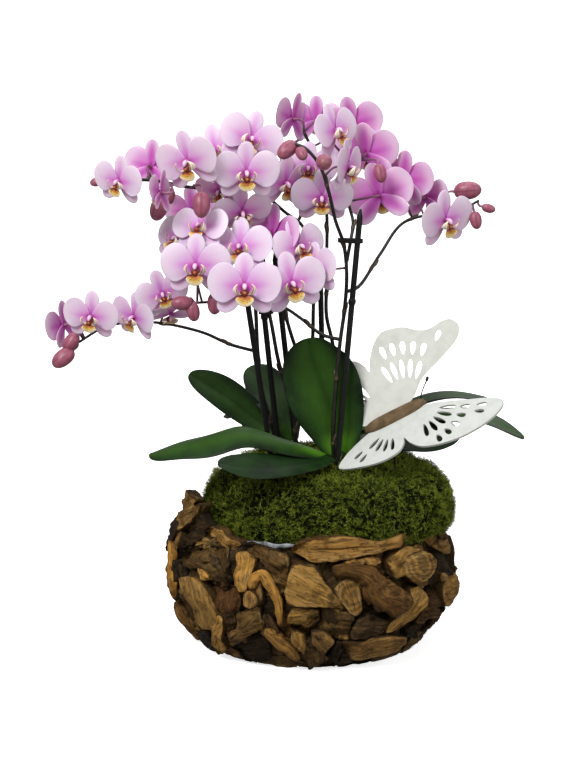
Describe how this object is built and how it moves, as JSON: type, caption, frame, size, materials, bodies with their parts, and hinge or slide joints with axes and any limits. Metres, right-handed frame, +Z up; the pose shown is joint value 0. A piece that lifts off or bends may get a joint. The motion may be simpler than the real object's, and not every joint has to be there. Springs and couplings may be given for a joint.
{
  "type": "moth orchid in basket",
  "caption": "Moth orchids with arching flower spikes and broad leaves, planted under moss in a round driftwood basket, with stakes and a wooden butterfly.",
  "frame": {"origin": "centre of the basket's flat underside, on the surface it stands on", "axes": "+Z up; -Y towards the side the blooms and the long leaves face (the front); +X to the right of someone who looks at the front"},
  "size_m": [0.4539, 0.2884, 0.5189],
  "materials": {
    "driftwood": "rough, weathered, sawn ends and bark",
    "liner_film": "thin crinkled film",
    "bark": "coarse chips",
    "nursery_pot": "milky, thin walled",
    "roots": "matted roots and bark",
    "moss": "soft living moss",
    "leaf": "smooth, slightly glossy",
    "stem": "smooth, satin",
    "petal": "soft, waxy",
    "stake": "satin",
    "painted_wood": "matt white paint",
    "plain_wood": "plain, weathered",
    "wire": "dark, satin"
  },
  "bodies": {
    "root": {"bloom_a01": "petal", "bloom_a02": "petal", "bloom_a03": "petal", "bloom_a06": "petal", "bloom_a07": "petal", "bloom_b03": "petal", "bloom_c02": "petal", "bloom_c03": "petal", "bloom_c04": "petal", "bloom_c05": "petal", "bloom_c06": "petal", "bloom_d01": "petal", "bloom_d02": "petal", "bloom_d03": "petal", "bloom_e01": "petal", "bloom_e02": "petal", "bloom_e06": "petal", "blooms_a04_a05": "petal", "blooms_a08_a10": "petal", "blooms_a09_a12": "petal", "blooms_a11_b04_b05_b06": "petal", "blooms_a13_e04": "petal", "blooms_b01_b02_c01": "petal", "blooms_d04_d05": "petal", "blooms_e03_e08": "petal", "blooms_e05_e07": "petal", "butterfly_antennae": "wire", "butterfly_body": "plain_wood", "butterfly_pick": "wire", "butterfly_wing_far": "painted_wood", "butterfly_wing_near": "painted_wood", "driftwood_basket": "driftwood", "flower_spike_1": "stem", "flower_spike_2": "stem", "flower_spike_3": "stem", "flower_spike_4": "stem", "flower_spike_5": "stem", "flower_spike_6": "stem", "foil_liner": "liner_film", "moss_cushion": "moss", "nursery_pot_front": "nursery_pot", "nursery_pot_left": "nursery_pot", "nursery_pot_right": "nursery_pot", "plant_front": "leaf", "plant_left": "leaf", "plant_right": "leaf", "potting_filler": "bark", "root_ball_front": "roots", "root_ball_left": "roots", "root_ball_right": "roots", "stake_1": "stake", "stake_2": "stake", "stake_3": "stake", "stake_4": "stake", "stake_5": "stake", "tie_band_1": "stake", "tie_band_2": "stake", "tie_band_3": "stake"}
  },
  "joints": []
}
